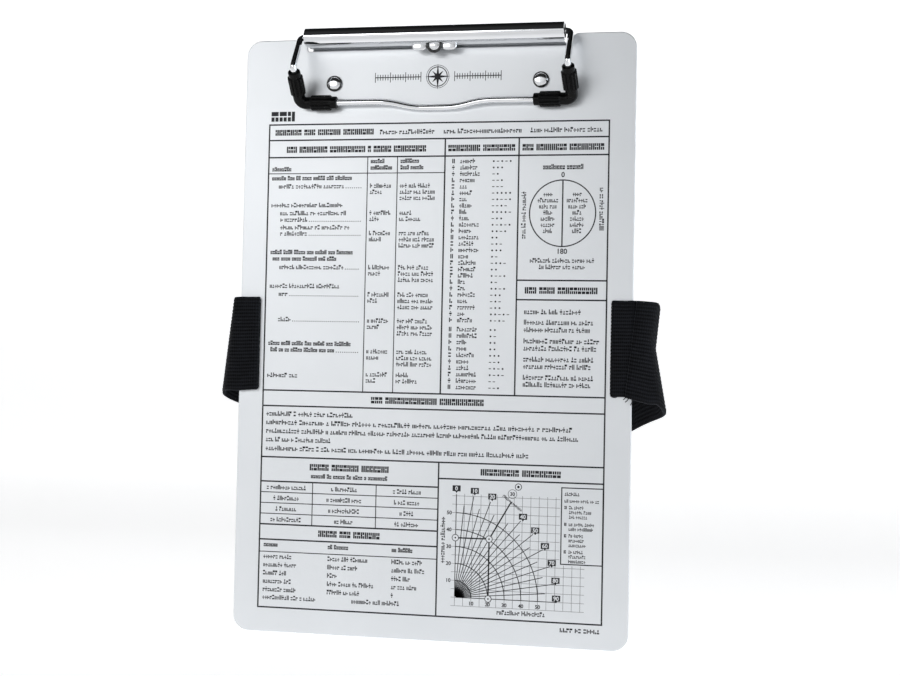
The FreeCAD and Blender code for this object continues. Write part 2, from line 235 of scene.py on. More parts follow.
def clip_chrome():
    """Chrome plate with painted shade: dark on the small pad round the anchor, under the web."""
    n = Nodes("clip_chrome_plate")
    n.put(Metallic=1.0)
    smear = n.noise(140, 4.0)
    plate = n.colours(smear, (0.3, (0.805, 0.813, 0.830)), (0.7, (0.830, 0.838, 0.855)))
    split = n.add("ShaderNodeSeparateXYZ")
    n.link(n.object_space(), split.inputs["Vector"])
    # Painted shade: the pad's walls below the web, between the bosses, are coloured near black.
    near = n.math("LESS_THAN", n.math("ABSOLUTE", split.outputs["X"]), BOSS_HALF_W * MM)
    under = n.math("LESS_THAN", split.outputs["Z"], (WEB_LOW - 0.03) * MM)
    front = n.math("LESS_THAN", split.outputs["Y"], (FRONT_Y - 0.1) * MM)
    painted_shade_mask = n.math("MULTIPLY", near, n.math("MULTIPLY", under, front))
    mix = n.add("ShaderNodeMix", data_type="RGBA")
    n.link(painted_shade_mask, mix.inputs["Factor"])
    n.link(plate, mix.inputs["A"])
    mix.inputs["B"].default_value = (0.035, 0.036, 0.040, 1)
    n.link(mix.outputs["Result"], n.shader.inputs["Base Color"])
    n.rough(smear, 0.05, 0.11)
    return n.material


def zinc_steel():
    n = Nodes("zinc_steel")
    n.put(Metallic=1.0)
    spangle = n.noise(700, 3.0)
    n.tint(spangle, (0.3, (0.45, 0.46, 0.47)), (0.7, (0.62, 0.62, 0.63)))
    n.rough(spangle, 0.30, 0.48)
    return n.material


def moulded_rubber(name, tone=0.0014):
    n = Nodes(name)
    n.put(Specular_IOR_Level=0.13)
    patch = n.noise(260, 3.0)
    low, high = (tone * 0.8,) * 3, (tone * 1.5, tone * 1.5, tone * 1.65)
    n.tint(patch, (0.35, low), (0.7, high))
    n.rough(patch, 0.20, 0.32)
    n.normal(n.noise(3800, 2.0), 0.00003, 0.35)
    return n.material


def printing_ink(name, low, high):
    n = Nodes(name)
    n.put(Specular_IOR_Level=0.35)
    wear = n.noise(900, 2.0)
    n.tint(wear, (0.3, low), (0.75, high))
    n.rough(wear, 0.42, 0.58)
    return n.material


def knitted_elastic():
    """Black knit: cord ribs come from the mesh; painted shade in their furrows, painted highlight on their
    crests, and the stitches across them from here.
    """
    n = Nodes("knitted_elastic")
    n.put(Specular_IOR_Level=0.11, Sheen_Weight=0.12, Sheen_Roughness=0.30)
    n.put(Sheen_Tint=(0.80, 0.88, 1.0, 1))
    place = n.add("ShaderNodeAttribute", attribute_name="cloth").outputs["Vector"]
    split = n.add("ShaderNodeSeparateXYZ")
    n.link(place, split.inputs["Vector"])
    along, across = split.outputs["X"], split.outputs["Y"]
    # Painted shade and highlight: the colour is darker in the furrows between the cord ribs and lighter on
    # their crests.
    painted_rib_shade = n.math("COSINE", n.math("MULTIPLY", across, 2 * math.pi * STRAP_RIBS / 35.0))
    stitch = n.math("SINE", n.math("MULTIPLY", along, 2 * math.pi / 0.75))
    fuzz = n.noise(2.6, 3.0, source=place)
    worn = n.noise(0.16, 3.0, source=place)
    height = n.math("ADD", n.math("MULTIPLY", stitch, 0.45), fuzz)
    tone = n.math("ADD", n.math("MULTIPLY", painted_rib_shade, 0.13), n.math("MULTIPLY", stitch, 0.10))
    tone = n.math("ADD", tone, n.math("ADD", n.math("MULTIPLY", worn, 0.4), n.math("MULTIPLY", fuzz, 0.6)))
    n.tint(tone, (0.25, (0.0006, 0.0006, 0.0008)), (0.85, (0.0120, 0.0130, 0.0170)))
    n.rough(fuzz, 0.62, 0.85)
    n.normal(height, 0.00012, 0.8)
    return n.material


def fastener_tape(name, scale, depth):
    n = Nodes(name)
    n.put(Specular_IOR_Level=0.3, Sheen_Weight=0.35, Sheen_Roughness=0.5)
    cell = n.add("ShaderNodeTexVoronoi")
    cell.inputs["Scale"].default_value = scale
    n.link(n.object_space(), cell.inputs["Vector"])
    n.tint(cell.outputs["Distance"], (0.1, (0.030, 0.030, 0.034)), (0.6, (0.008, 0.008, 0.010)))
    n.put(Roughness=0.85)
    n.normal(cell.outputs["Distance"], depth, 0.9)
    return n.material


def thread_material():
    n = Nodes("thread")
    n.put(Specular_IOR_Level=0.3, Sheen_Weight=0.2)
    twist = n.add("ShaderNodeTexWave")
    twist.inputs["Scale"].default_value = 420
    twist.inputs["Distortion"].default_value = 0.6
    n.link(n.object_space(), twist.inputs["Vector"])
    n.tint(twist.outputs["Fac"], (0.2, (0.010, 0.010, 0.012)), (0.8, (0.030, 0.030, 0.034)))
    n.put(Roughness=0.7)
    n.normal(twist.outputs["Fac"], 0.00006, 0.7)
    return n.material


def studio_white():
    """Backdrop paper, lit through so that it photographs as white, and dimmer well in front of the board."""
    n = Nodes("studio_white")
    paper = n.noise(3.0, 2.0)
    n.tint(paper, (0.3, (0.90, 0.90, 0.905)), (0.7, (0.92, 0.92, 0.925)))
    n.put(Roughness=0.9, Specular_IOR_Level=0.1)
    split = n.add("ShaderNodeSeparateXYZ")
    n.link(n.object_space(), split.inputs["Vector"])
    n.shader.inputs["Emission Color"].default_value = (1, 1, 1, 1)
    behind = n.spread(split.outputs["Y"], 0.85, 0.64, -0.10, 0.35)
    before = n.spread(split.outputs["Y"], 0.62, 1.0, -0.30, -0.04)
    n.link(n.math("MULTIPLY", behind, before), n.shader.inputs["Emission Strength"])
    return n.material


# ---- camera, floor and light ----
def make_camera():
    data = bpy.data.cameras.new("camera")
    data.lens = 64.5
    data.sensor_width = 36.0
    data.shift_y = -0.0422
    data.clip_start = 0.01
    camera = collection_object("camera", data)
    camera.location = (0.14126, -0.59523, -0.0129)
    camera.rotation_euler = (math.radians(92.504), math.radians(-1.159), math.radians(12.689))
    bpy.context.scene.camera = camera


def make_floor():
    """Pale floor that curves up into a back wall."""
    floor_z = BOARD_LOW.z
    half, front, back, radius, top = 2600, -2600, 900, 500, 1500
    profile = [(front, floor_z), (back, floor_z)]
    for i in range(1, 17):
        a = math.pi / 2 * i / 16
        profile.append((back + radius * math.sin(a), floor_z + radius * (1 - math.cos(a))))
    profile.append((back + radius, floor_z + top))
    points = [(x, y, z) for y, z in profile for x in (-half, half)]
    faces = [(2 * i, 2 * i + 1, 2 * i + 3, 2 * i + 2) for i in range(len(profile) - 1)]
    build_mesh("studio_floor", points, faces, studio_white())


def area_light(name, place, aim, size, power, tint=(1, 1, 1)):
    data = bpy.data.lights.new(name, "AREA")
    data.shape = "RECTANGLE"
    data.size, data.size_y = size
    data.energy = power
    data.color = tint
    light = collection_object(name, data)
    light.location = place
    light.rotation_euler = (Vector(aim) - Vector(place)).to_track_quat("-Z", "Y").to_euler()


def make_light():
    """A wide white softbox in front, stronger on the left, under a dark ceiling."""
    world = bpy.data.worlds.new("studio")
    bpy.context.scene.world = world
    world.use_nodes = True
    tree = world.node_tree
    shader = tree.nodes["Background"]
    split = tree.nodes.new("ShaderNodeSeparateXYZ")
    tree.links.new(tree.nodes.new("ShaderNodeTexCoord").outputs["Generated"], split.inputs["Vector"])
    level = None
    for axis, start, end, low, high in (("Z", 0.22, 0.30, 1.0, 0.03), ("Y", -0.70, 0.05, 1.0, 0.30),
                                        ("X", -0.45, 0.60, 0.98, 0.44)):
        edge = tree.nodes.new("ShaderNodeMapRange")
        edge.interpolation_type = "SMOOTHSTEP"
        edge.inputs["From Min"].default_value = start
        edge.inputs["From Max"].default_value = end
        edge.inputs["To Min"].default_value = low
        edge.inputs["To Max"].default_value = high
        tree.links.new(split.outputs[axis], edge.inputs["Value"])
        if level is None:
            level = edge.outputs["Result"]
            continue
        product = tree.nodes.new("ShaderNodeMath")
        product.operation = "MULTIPLY"
        tree.links.new(level, product.inputs[0])
        tree.links.new(edge.outputs["Result"], product.inputs[1])
        level = product.outputs["Value"]
    tree.links.new(level, shader.inputs["Strength"])
    shader.inputs["Color"].default_value = (0.97, 0.985, 1.0, 1)
    area_light("key", (-0.60, -1.20, 0.30), (0, 0, 0), (0.8, 0.30), 2.2)
    area_light("fill", (1.00, -0.45, 0.02), (0, 0, 0), (0.3, 0.7), 6.0, (0.86, 0.93, 1.0))
    bpy.context.scene.view_settings.view_transform = "Standard"


# ---- printed tables ----
class Ink:
    """Flat printed shapes on the board's face, each a closed prism a few hundredths of a millimetre thick."""

    def __init__(self, lift=0.0):
        self.points = []
        self.faces = []
        self.back_y = FRONT_Y - lift
        self.face_y = FRONT_Y - lift - INK_T

    def polygon(self, outline):
        """A closed prism over an anticlockwise outline of (x, z) points."""
        base = len(self.points)
        count = len(outline)
        self.points += [(x, self.face_y, z) for x, z in outline]
        self.points += [(x, self.back_y, z) for x, z in outline]
        self.faces.append(tuple(range(base, base + count)))
        self.faces.append(tuple(range(base + 2 * count - 1, base + count - 1, -1)))
        for i in range(count):
            j = (i + 1) % count
            self.faces.append((base + i, base + count + i, base + count + j, base + j))

    def box(self, x0, z0, x1, z1):
        self.polygon([(x0, z0), (x1, z0), (x1, z1), (x0, z1)])

    def line(self, x0, z0, x1, z1, width):
        along = Vector((x1 - x0, z1 - z0)).normalized()
        side = Vector((along.y, -along.x)) * width / 2
        a, b = Vector((x0, z0)), Vector((x1, z1))
        self.polygon([tuple(a + side), tuple(b + side), tuple(b - side), tuple(a - side)])

    def frame(self, x0, z0, x1, z1, width):
        h = width / 2
        self.line(x0 - h, z0, x1 + h, z0, width)
        self.line(x0 - h, z1, x1 + h, z1, width)
        self.line(x0, z0 + h, x0, z1 - h, width)
        self.line(x1, z0 + h, x1, z1 - h, width)

    def arc(self, cx, cz, radius, start, end, width, steps=48):
        """A curved band, in degrees anticlockwise from +X."""
        angles = [math.radians(start + (end - start) * i / steps) for i in range(steps + 1)]
        for a, b in zip(angles, angles[1:]):
            outer, inner = radius + width / 2, radius - width / 2
            self.polygon([(cx + inner * math.cos(a), cz + inner * math.sin(a)),
                          (cx + outer * math.cos(a), cz + outer * math.sin(a)),
                          (cx + outer * math.cos(b), cz + outer * math.sin(b)),
                          (cx + inner * math.cos(b), cz + inner * math.sin(b))])

    def disc(self, cx, cz, radius, sides=20):
        angles = [2 * math.pi * i / sides for i in range(sides)]
        self.polygon([(cx + radius * math.cos(a), cz + radius * math.sin(a)) for a in angles])

    def piece(self, name, material):
        """The finished piece, riding on the board."""
        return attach(build_mesh(name, self.points, self.faces, material, smooth=False), "board")


# Meaningless marks that stand for lettering: each is a few bars in a unit cell, (x0, z0, x1, z1)
MARKS = [
    [(0.00, 0.00, 0.36, 1.00), (0.50, 0.00, 0.90, 0.42)],
    [(0.00, 0.68, 0.86, 1.00), (0.00, 0.00, 0.86, 0.32)],
    [(0.00, 0.00, 0.34, 1.00), (0.46, 0.32, 0.92, 0.68)],
    [(0.02, 0.00, 0.36, 1.00), (0.54, 0.00, 0.88, 1.00)],
    [(0.00, 0.60, 0.90, 1.00), (0.00, 0.00, 0.38, 0.46)],
    [(0.00, 0.00, 0.86, 0.32), (0.26, 0.45, 0.62, 1.00)],
    [(0.00, 0.36, 0.88, 0.68), (0.26, 0.00, 0.62, 0.24), (0.26, 0.80, 0.62, 1.00)],
]


# The same for headings, with less air in each cell
BOLD_MARKS = [
    [(0.00, 0.00, 0.40, 1.00), (0.50, 0.00, 0.92, 0.44), (0.50, 0.58, 0.92, 1.00)],
    [(0.00, 0.56, 0.92, 1.00), (0.00, 0.00, 0.40, 0.44), (0.52, 0.00, 0.92, 0.44)],
    [(0.00, 0.00, 0.92, 0.42), (0.00, 0.54, 0.40, 1.00), (0.52, 0.54, 0.92, 1.00)],
    [(0.00, 0.00, 0.40, 1.00), (0.52, 0.00, 0.92, 1.00)],
    [(0.00, 0.56, 0.40, 1.00), (0.00, 0.00, 0.40, 0.44), (0.52, 0.00, 0.92, 1.00)],
]


class Greeking:
    """Rows of meaningless marks in place of words. Word lengths are given as digits."""

    def __init__(self, ink, seed):
        self.ink = ink
        self.random = random.Random(seed)

    def row(self, x, z, words, pitch=0.98, height=1.25, tall=1.75, bold=1.0, turn=0.0, centred=False):
        """Marks from (x, z) to the right along a baseline turned by some degrees."""
        lengths = [int(word, 36) for word in words.split()]
        total = (sum(lengths) + 0.6 * (len(lengths) - 1)) * pitch
        along = Vector((math.cos(math.radians(turn)), math.sin(math.radians(turn))))
        up = Vector((-along.y, along.x))
        origin = Vector((x, z)) - (along * total / 2 if centred else along * 0)
        at = 0.0
        for length in lengths:
            for _ in range(length):
                mark = self.random.choice(BOLD_MARKS if bold > 1 else MARKS)
                high = tall if self.random.random() < 0.3 else height
                for x0, z0, x1, z1 in mark:
                    left, right = at + x0 * pitch * 0.94, at + x1 * pitch * 0.94
                    corners = [(left, z0 * high), (right, z0 * high), (right, z1 * high), (left, z1 * high)]
                    self.ink.polygon([tuple(origin + along * cx + up * cz) for cx, cz in corners])
                at += pitch
            at += 0.6 * pitch

    def fit(self, x0, x1, z, words, bold=1.0, height=1.25, tall=1.75):
        """A row whose marks just fill the space between two places."""
        lengths = [int(word, 36) for word in words.split()]
        self.row(x0, z, words, (x1 - x0) / (sum(lengths) + 0.6 * (len(lengths) - 1)), height, tall, bold)

    def heading(self, x, z, words, width, height=2.45, centred=True):
        """Bold marks fitted to a width."""
        lengths = [int(word, 36) for word in words.split()]
        pitch = width / (sum(lengths) + 0.6 * (len(lengths) - 1))
        self.row(x, z, words, pitch, height, height, bold=1.5, centred=centred)

    def dots(self, x0, x1, z, pitch=0.85, size=0.34):
        """A dotted leader."""
        for i in range(int((x1 - x0) / pitch)):
            self.ink.box(x0 + i * pitch, z, x0 + i * pitch + size, z + size)


EDGE_L, EDGE_R, EDGE_B, EDGE_T = -66.3, 66.4, -105.0, 81.2
MID_X, RIGHT_X = 4.0, 32.5
COL_A, COL_B = -26.4, -14.6
BAND_1, BAND_2, BAND_3 = 75.1, 68.4, 62.1
FREQ_TOP, FREQ_HEAD, LOW_TOP = -21.8, -27.8, -47.5


def print_rules():
    """Every ruled line of the tables."""
    ink = Ink()
    ink.frame(EDGE_L, EDGE_B, EDGE_R, EDGE_T, HEAVY)
    for z in (BAND_1, BAND_2, FREQ_TOP, FREQ_HEAD, LOW_TOP):
        ink.line(EDGE_L, z, EDGE_R, z, HEAVY)
    for x0, x1, z, width in ((EDGE_L, MID_X, BAND_3, FINE), (RIGHT_X, EDGE_R, 21.4, HEAVY),
                             (RIGHT_X, EDGE_R, 14.1, HEAVY), (MID_X, EDGE_R, -53.55, HEAVY),
                             (EDGE_L, MID_X, -56.85, HEAVY), (EDGE_L, MID_X, -61.0, FINE),
                             (EDGE_L, MID_X, -65.1, FINE), (EDGE_L, MID_X, -69.2, FINE),
                             (EDGE_L, MID_X, -73.3, HEAVY), (EDGE_L, MID_X, -79.1, HEAVY),
                             (EDGE_L, MID_X, -83.8, FINE)):
        ink.line(x0, z, x1, z, width)
    for x, z0, z1, width in ((MID_X, BAND_1, FREQ_TOP, HEAVY), (RIGHT_X, BAND_1, FREQ_TOP, HEAVY),
                             (COL_A, BAND_2, FREQ_TOP, FINE), (COL_B, BAND_2, FREQ_TOP, FINE),
                             (MID_X, LOW_TOP, EDGE_B, HEAVY), (-45.4, -56.85, -73.3, FINE),
                             (-20.2, -56.85, -73.3, FINE)):
        ink.line(x, z0, x, z1, width)
    ink.piece("print_rules", BLACK_INK)


# Rows of the tall table: where each starts and ends, its height, its word lengths and its weight
LEFT_ROWS = [
    (-64.8, -32.5, 59.5, "6 3 2 4 5 3 7", 1.4),
    (-62.0, -35.5, 56.3, "6 a 8", 1.0),
    (-64.8, -36.0, 49.0, "7 a 9", 1.0),
    (-61.2, -34.5, 45.9, "3 7 2 8 2", 1.0),
    (-61.0, -50.0, 43.4, "1 9", 1.0),
    (-61.0, -33.0, 40.4, "5 7 2 8 2", 1.0),
    (-61.0, -50.0, 38.0, "1 9", 1.0),
    (-64.7, -31.5, 30.8, "5 4 5 3 5 3 7", 1.4),
    (-63.8, -38.0, 28.3, "3 4 4 6 3 4", 1.4),
    (-61.0, -35.0, 25.0, "6 a 8", 1.0),
    (-64.7, -36.5, 17.7, "7 a 9", 1.0),
    (-61.0, -57.2, 14.6, "3", 1.0),
    (-61.0, -55.8, 4.8, "5", 1.0),
    (-64.7, -31.5, -4.4, "5 4 5 3 5 3 7", 1.4),
    (-63.8, -38.0, -6.9, "3 2 2 5 6 3 3", 1.4),
    (-64.8, -52.5, -16.8, "7 3", 1.0),
]


def print_left_table(text):
    """The tall table on the left: conditions, and two narrow columns beside them."""
    text.heading(-31.2, 70.2, "3 8 a 1 5 9", 55.8)
    text.row(-64.8, 63.0, "8", bold=1.4)
    for x, words in ((-25.2, "6"), (-13.4, "8")):
        text.row(x, 65.9, words, 0.92, bold=1.4)
    for x, words in ((-25.2, "a"), (-13.4, "4 6")):
        text.row(x, 63.4, words, 0.86, bold=1.4)
    for x0, x1, z, words, bold in LEFT_ROWS:
        text.fit(x0, x1, z, words, bold)
    for x0, z in ((-35.0, 56.3), (-49.4, 43.4), (-49.4, 38.0), (-34.5, 25.0), (-56.6, 14.6), (-55.2, 4.8),
                  (-37.4, -6.9)):
        text.dots(x0, -27.8, z)
    for z, first, second in ((56.4, "1 7", "5"), (46.0, "1 7", "4"), (38.2, "1 7", "5"), (25.1, "1 7", "5"),
                             (14.7, "1 7", "4"), (4.7, "1 7", "5"), (-7.0, "1 7", "5"), (-15.8, "1 7", "4")):
        text.row(-25.3, z, first)
        text.row(-25.3, z - 2.35, second)
    for z in (56.4, 38.2, 25.1, 14.7, 4.7, -7.0):
        text.row(-13.5, z, "3 3 5")
        text.row(-13.5, z - 2.35, "5 3 5")
        text.row(-13.5, z - 4.7, "5 3 5")
    for z in (46.0, -15.8):
        text.row(-13.5, z, "5")
        text.row(-13.5, z - 2.35, "2 6")


def print_code_list(text, ink):
    """The middle list: a mark, a word, and a run of dots and dashes."""
    draw = random.Random(11)
    text.heading(18.2, 70.2, "8 8", 26.0)
    rows = [65.6 - 2.41 * i for i in range(26)] + [1.9 - 2.42 * i for i in range(10)]
    for z in rows:
        text.row(6.8, z, "1", 1.25, 1.7, 1.7)
        text.row(9.9, z, str(draw.randint(3, 8)))
        for i in range(draw.randint(2, 5)):
            x = 22.9 + 1.62 * i
            if draw.random() < 0.5:
                ink.disc(x, z + 0.7, 0.36, 10)
            else:
                ink.box(x - 0.45, z + 0.52, x + 0.45, z + 0.82)


def print_right_column(text, ink, numbers):
    """A divided circle over a box of paired rows."""
    cx, cz, radius = 49.35, 46.55, 12.45
    text.heading(49.3, 70.2, "3 8 9", 31.0)
    text.row(49.4, 63.0, "8 6", 1.05, 1.5, 2.0, bold=1.5, centred=True)
    ink.arc(cx, cz, radius, 0, 360, 0.45, 72)
    ink.line(cx, cz - radius, cx, cz + radius, 0.50)
    for side in (-1, 1):
        for i, words in enumerate(("4", "9", "4 3", "4", "6", "6", "4")):
            text.row(cx + side * 5.5, 52.9 - 2.3 * i, words, 0.88, centred=True)
    text.row(cx - radius - 1.4, 37.0, "4 2 4 8", 0.90, turn=90)
    text.row(cx + radius + 1.4, 56.0, "2 2 4 8", 0.90, turn=-90)
    numbers.append((cx, 60.1, "0", 1.9))
    numbers.append((cx, 31.4, "180", 1.9))
    text.row(49.5, 28.0, "8 7 5 3", 0.98, centred=True)
    text.row(49.5, 25.6, "2 6 3 5", 0.98, centred=True)
    text.heading(49.4, 16.4, "3 4 a", 27.5)
    for x1, z, words in ((57.0, 8.7, "5 2 3 7"), (61.7, 4.8, "7 8 2 5"), (60.5, 2.0, "7 8 2 5"),
                         (64.0, -2.2, "8 8 2 5"), (63.0, -4.9, "8 8 2 5"), (62.0, -9.0, "7 8 2 5"),
                         (61.0, -11.7, "7 8 2 5"), (62.0, -15.8, "7 8 2 5"), (61.0, -18.4, "7 8 2 5")):
        text.fit(35.5, x1, z, words, height=1.4, tall=1.9)


def print_wide_rows(text):
    """Heading bands and the full-width block of rows."""
    text.heading(-65.7, 82.5, "3", 10.0, 3.8, centred=False)
    text.heading(-63.9, 77.0, "7 3 6 8", 39.8, 2.25, centred=False)
    for x0, x1, words in ((-21.8, -0.2, "6 c"), (3.3, 33.5, "4 l"), (36.7, 64.0, "4 6 7 5")):
        text.fit(x0, x1, 77.0, words, height=1.35, tall=1.85)
    text.heading(-1.0, -26.0, "3 d b", 44.0)
    for x1, z, words in ((-30.0, -31.7, "9 1 5 4 9"), (54.5, -35.0, "a 8 1 6 6 1 a 6 7 a 4 8 1 9"),
                         (56.8, -38.3, "c 8 1 6 6 6 8 8 5 9 5 e 2 2 7"), (-38.6, -41.6, "3 2 3 1 7 6"),
                         (38.3, -45.0, "b 5 1 3 5 3 8 2 4 6 5 4 3 5 9 4")):
        text.fit(-64.7, x1, z, words, height=1.35, tall=1.85)
    text.heading(-31.0, -52.2, "5 7 7", 31.5)
    text.row(-31.0, -55.2, "6 2 5 2 4 1 8", 0.96, bold=1.4, centred=True)


def print_low_left(text):
    """The small grid and the signal table."""
    for z, words in ((-59.9, ("1 8 6", "1 9", "1 4 5")), (-64.0, ("1 9", "1 8 4", "1 3 5")),
                     (-68.1, ("1 7", "1 b", "1 4")), (-72.2, ("2 a", "2 5", "2 7"))):
        for x, row in zip((-55.9, -32.8, -8.1), words):
            text.row(x, z, row, 0.98, centred=True)
    text.heading(-30.5, -77.4, "5 3 7", 24.5)
    for x, words in ((-64.5, "6"), (-38.8, "2 6"), (-13.6, "2 6")):
        text.row(x, -81.9, words, 0.95, bold=1.4)
    columns = (("6 5", "5 3 7", "5 2 4"), ("8 5", "5 2 4", "6 2 4"), ("6 3", "4", "4 3"),
               ("8 3", "4 5 2 6", "2 3 4"), ("8 5", "6 2 4", "1"))
    for i, row in enumerate(columns):
        for x, words in zip((-64.5, -38.8, -13.6), row):
            text.row(x, -86.4 - 3.15 * i, words)
    text.row(-64.5, -102.0, "b 3 1 5")
    text.row(-29.0, -102.0, "8 3 7")


CHART = Vector((11.05, -97.6))
TEN = 6.3


def polar(radius, degrees):
    """A chart point, with the angle measured clockwise from straight up."""
    a = math.radians(degrees)
    return CHART.x + radius * math.sin(a), CHART.y + radius * math.cos(a)


def print_chart_grid():
    """Pale squared paper under the wind chart."""
    ink = Ink()
    step = TEN / 2
    for i in range(16):
        x = CHART.x + i * step
        low = CHART.y - 3.2
        high = -59.0 if x < 50.5 else -84.0
        ink.line(x, low, x, high, HAIR)
    for i in range(-1, 13):
        z = CHART.y + i * step
        right = 59.8 if z < -84.0 else 50.4
        ink.line(CHART.x - 1.5, z, right, z, HAIR)
    ink.piece("print_chart_grid", GREY_INK)


def print_chart(text, ink, numbers, white):
    """Polar chart with a worked example and a boxed key."""
    text.heading(35.4, -51.9, "9 9", 30.5)
    for step in range(1, 6):
        ink.arc(CHART.x, CHART.y, TEN * step, 0, 90, 0.30, 36)
        numbers.append((CHART.x - 2.6, CHART.y + TEN * step - 0.7, str(10 * step), 1.35))
        numbers.append((CHART.x + TEN * step, CHART.y - 2.7, str(10 * step), 1.35))
    for degrees in range(0, 91, 5):
        reach = 38.3 if degrees % 10 == 0 else 34.4
        ink.line(*polar(0.4, degrees), *polar(reach, degrees), 0.28)
    for i in range(36):
        ink.line(*polar(0.4, 1.25 + 2.5 * i), *polar(TEN, 1.25 + 2.5 * i), 0.10)
    for degrees in (0, 10, 20, 40, 50, 60, 70, 80, 90):
        x, z = polar(40.6 - 2.2 * degrees / 90, degrees)
        z += 1.4 * degrees / 90
        ink.box(x - 1.55, z - 1.1, x + 1.55, z + 1.1)
        ink.polygon([(x - 0.5, z - 1.05), (x, z - 1.75), (x + 0.5, z - 1.05)])
        white.append((x, z - 0.72, str(degrees), 1.45))
    bx, bz = polar(25.6, 30)
    ink.line(bx, bz, *polar(42.0, 30), 0.50)
    ink.line(bx, bz, CHART.x, bz, 0.50)
    ink.line(bx, bz, bx, CHART.y, 0.50)
    ink.arc(34.6, -55.7, 1.2, 0, 360, 0.25, 20)
    ink.disc(34.6, -55.7, 0.5, 10)
    ink.arc(32.4, -58.4, 1.65, 0, 360, 0.16, 20)
    numbers.append((32.4, -59.0, "30", 1.3))
    text.row(28.6, -59.4, "6 8", 0.62, 0.9, 1.1, turn=-38)
    text.row(6.9, -85.0, "8 9", 0.98, turn=90)
    text.row(36.3, -103.2, "9 9", 0.98, centred=True)
    ink.frame(50.9, -83.5, EDGE_R - 0.1, -55.4, 0.40)
    text.row(52.0, -58.3, "7", 0.80, 1.1, 1.3)
    text.row(52.0, -60.8, "2 5 4 2 2", 0.74, 1.0, 1.25)
    for z, first, rest in ((-63.2, "2 5", ("7 4", "3 6")), (-69.4, "2 5 5", ("4 8",)),
                           (-73.6, "2 5", ("8", "9")), (-79.5, "2 5", ("9", "9"))):
        text.row(52.0, z, "1", 0.95, 1.2, 1.2, bold=1.5)
        text.row(53.7, z, first, 0.72, 1.0, 1.25)
        for i, words in enumerate(rest):
            text.row(53.7, z - 1.75 * (i + 1), words, 0.72, 1.0, 1.25)
    text.row(51.0, -108.4, "4 2 5", 1.22, 1.55, 1.55)


def chart_nodes():
    """Bare-metal discs where the example's lines meet, with a ring and a dot each."""
    bx, bz = polar(25.6, 30)
    clear, ring = Ink(0.03), Ink(0.06)
    for x, z in ((bx, bz), (CHART.x - 0.1, bz), (bx, CHART.y)):
        clear.disc(x, z, 1.22, 24)
        ring.arc(x, z, 1.22, 0, 360, 0.24, 24)
        ring.disc(x, z, 0.32, 8)
    clear.piece("chart_node_discs", ALUMINIUM)
    ring.piece("chart_node_rings", BLACK_INK)


def number_piece(name, entries, material, lift):
    """Plain dial numbers, as one mesh lying on the board."""
    parts = []
    for x, z, digits, height in entries:
        data = bpy.data.curves.new(name, "FONT")
        data.body = digits
        data.size = height * MM / 0.70
        data.align_x = "CENTER"
        data.extrude = INK_T * MM / 2
        data.resolution_u = 3
        data.offset = 0.05 * MM
        spot = Matrix.Translation((x * MM, (FRONT_Y - lift) * MM, z * MM))
        glyphs = collection_object(name, data)
        glyphs.matrix_world = spot @ Matrix.Rotation(math.pi / 2, 4, "X")
        parts.append(glyphs)
    bpy.context.view_layer.update()
    graph = bpy.context.evaluated_depsgraph_get()
    joined = bpy.data.meshes.new(name)
    points, faces = [], []
    for part in parts:
        mesh = bpy.data.meshes.new_from_object(part.evaluated_get(graph))
        base = len(points)
        points += [part.matrix_world @ v.co for v in mesh.vertices]
        faces += [tuple(base + i for i in p.vertices) for p in mesh.polygons]
        bpy.data.meshes.remove(mesh)
        bpy.data.objects.remove(part)
    joined.from_pydata([tuple(p) for p in points], [], faces)
    joined.materials.append(material)
    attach(collection_object(name, joined), "board")


def print_emblem():
    """A compass star in a ring, with a plain ruled scale on each side."""
    ink = Ink()
    cx, cz = 0.5, 98.9
    for i in range(8):
        a = math.radians(45 * i)
        long = 5.0 if i % 2 == 0 else 3.1
        tip = (cx + long * math.cos(a), cz + long * math.sin(a))
        left = (cx + 0.95 * math.cos(a + 0.55), cz + 0.95 * math.sin(a + 0.55))
        right = (cx + 0.95 * math.cos(a - 0.55), cz + 0.95 * math.sin(a - 0.55))
        ink.polygon([(cx, cz), right, tip, left])
    ink.arc(cx, cz, 3.7, 0, 360, 0.34, 48)
    ink.arc(cx, cz, 4.4, 0, 360, 0.18, 48)
    for side in (-1, 1):
        ink.line(cx + side * 6.6, cz, cx + side * 24.6, cz, 0.34)
        for i in range(19):
            x = cx + side * (6.6 + i)
            tall = 1.9 if i % 6 == 0 else 1.1
            ink.line(x, cz - tall, x, cz + tall, 0.26)
    ink.piece("print_emblem", BLACK_INK)


def print_board():
    marks, heads, shapes = Ink(), Ink(), Ink()
    text = Greeking(marks, 3)
    numbers, white = [], []
    print_rules()
    print_wide_rows(text)
    print_left_table(text)
    print_code_list(text, shapes)
    print_right_column(text, shapes, numbers)
    print_low_left(text)
    print_chart_grid()
    print_chart(text, shapes, numbers, white)
    chart_nodes()
    marks.piece("print_marks", BLACK_INK)
    shapes.piece("print_figures", BLACK_INK)
    number_piece("print_numbers", numbers, BLACK_INK, INK_T / 2)
    number_piece("print_label_numbers", white, ALUMINIUM, INK_T * 1.5)
    print_emblem()


# ---- swept rubber and elastic ----
def smooth_line(controls, count):
    """Points along a cubic B-spline that starts and ends on its first and last control points."""
    c = np.array(controls, float)
    c = np.vstack([c[0], c[0], c, c[-1], c[-1]])
    spans = len(c) - 3
    t = np.linspace(0, spans - 1e-9, count)
    i = t.astype(int)
    f = (t - i)[:, None]
    line = ((1 - f) ** 3 * c[i] + (3 * f ** 3 - 6 * f ** 2 + 4) * c[i + 1]
            + (-3 * f ** 3 + 3 * f ** 2 + 3 * f + 1) * c[i + 2] + f ** 3 * c[i + 3]) / 6
    return even(line, count)


